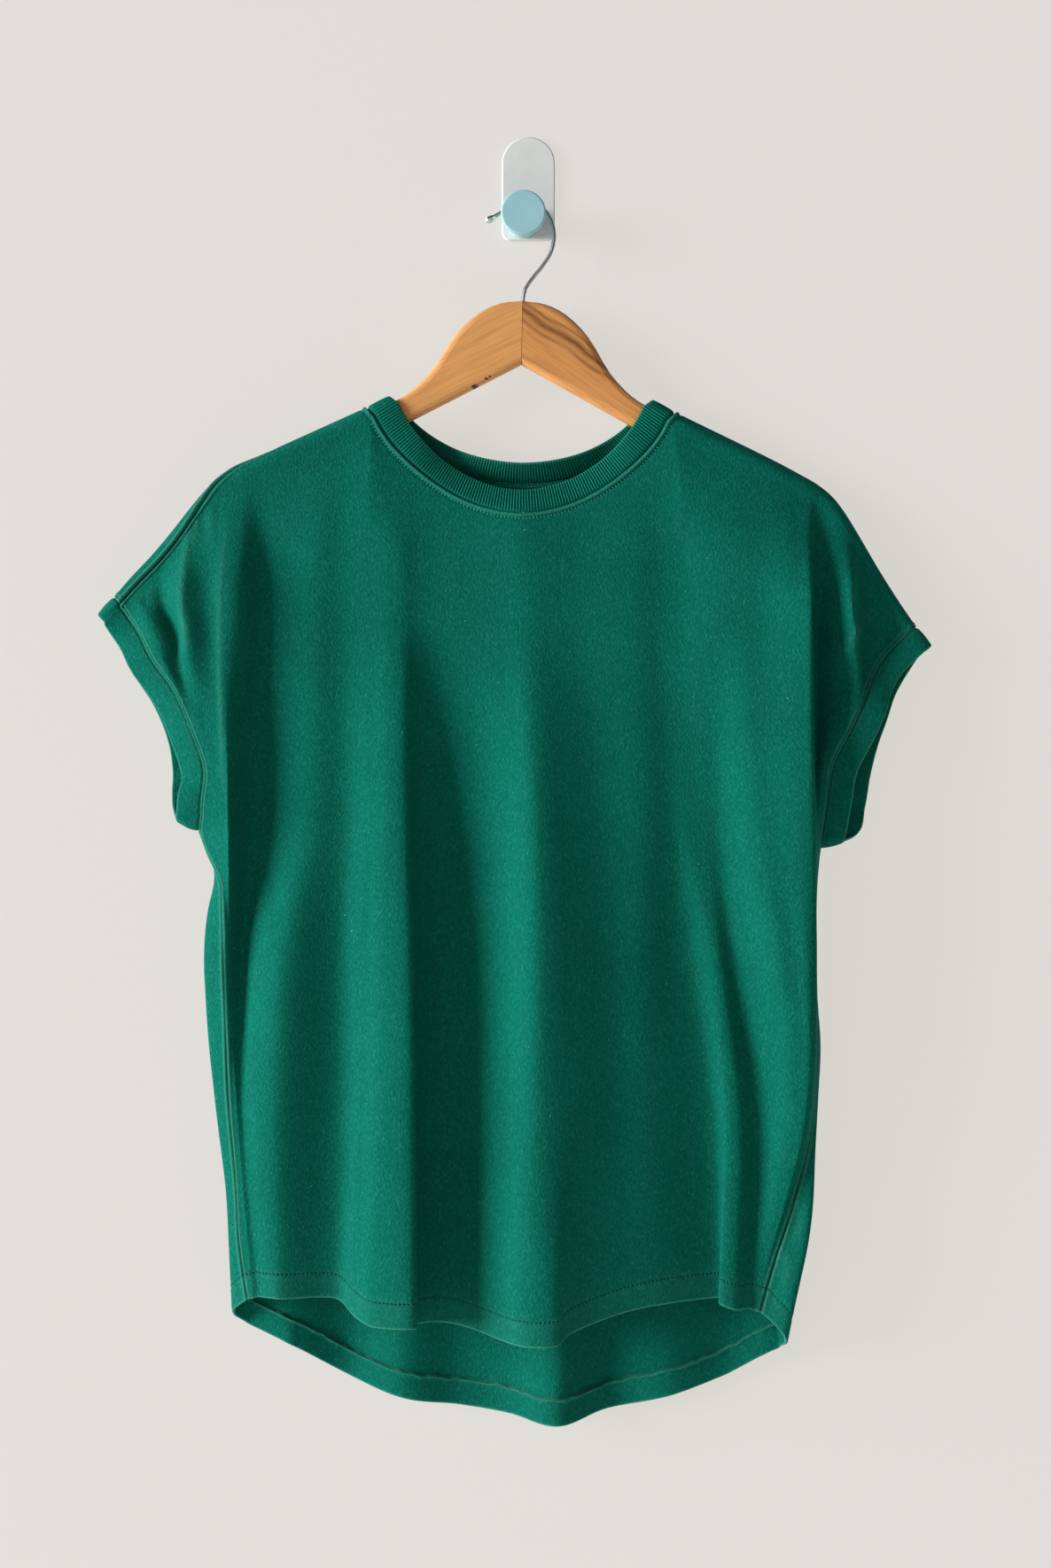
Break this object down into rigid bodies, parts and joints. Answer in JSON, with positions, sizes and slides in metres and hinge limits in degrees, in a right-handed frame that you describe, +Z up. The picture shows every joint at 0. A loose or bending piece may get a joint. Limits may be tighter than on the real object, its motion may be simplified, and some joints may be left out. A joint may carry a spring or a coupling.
{
  "type": "t-shirt on a wooden clothes hanger and wall hook",
  "caption": "Short-sleeved cotton t-shirt with ribbed round neck, cuffed kimono sleeves and curved longer back hem, on a wooden hanger and peg wall hook.",
  "frame": {"origin": "centre of the wall plate's back face, on the wall", "axes": "+X to the right as seen from the room, +Y into the wall, +Z up; the shirt hangs down and toward -Y"},
  "size_m": [0.5849, 0.066, 0.9088],
  "materials": {
    "green_jersey": "brushed deep green cotton jersey",
    "green_rib": "deep green cotton rib",
    "light_wood": "clear satin lacquer",
    "dark_wood": "clear satin lacquer",
    "steel": "bright nickel-plated wire",
    "white_plate": "satin white",
    "blue_peg": "pale blue satin paint"
  },
  "bodies": {
    "root": {"front": "green_jersey", "back": "green_jersey", "neckband": "green_rib", "cuff_left": "green_jersey", "cuff_right": "green_jersey", "hanger_left": "light_wood", "hanger_right": "dark_wood", "hanger_hook": "steel", "wall_plate": "white_plate", "peg": "blue_peg"}
  },
  "joints": []
}
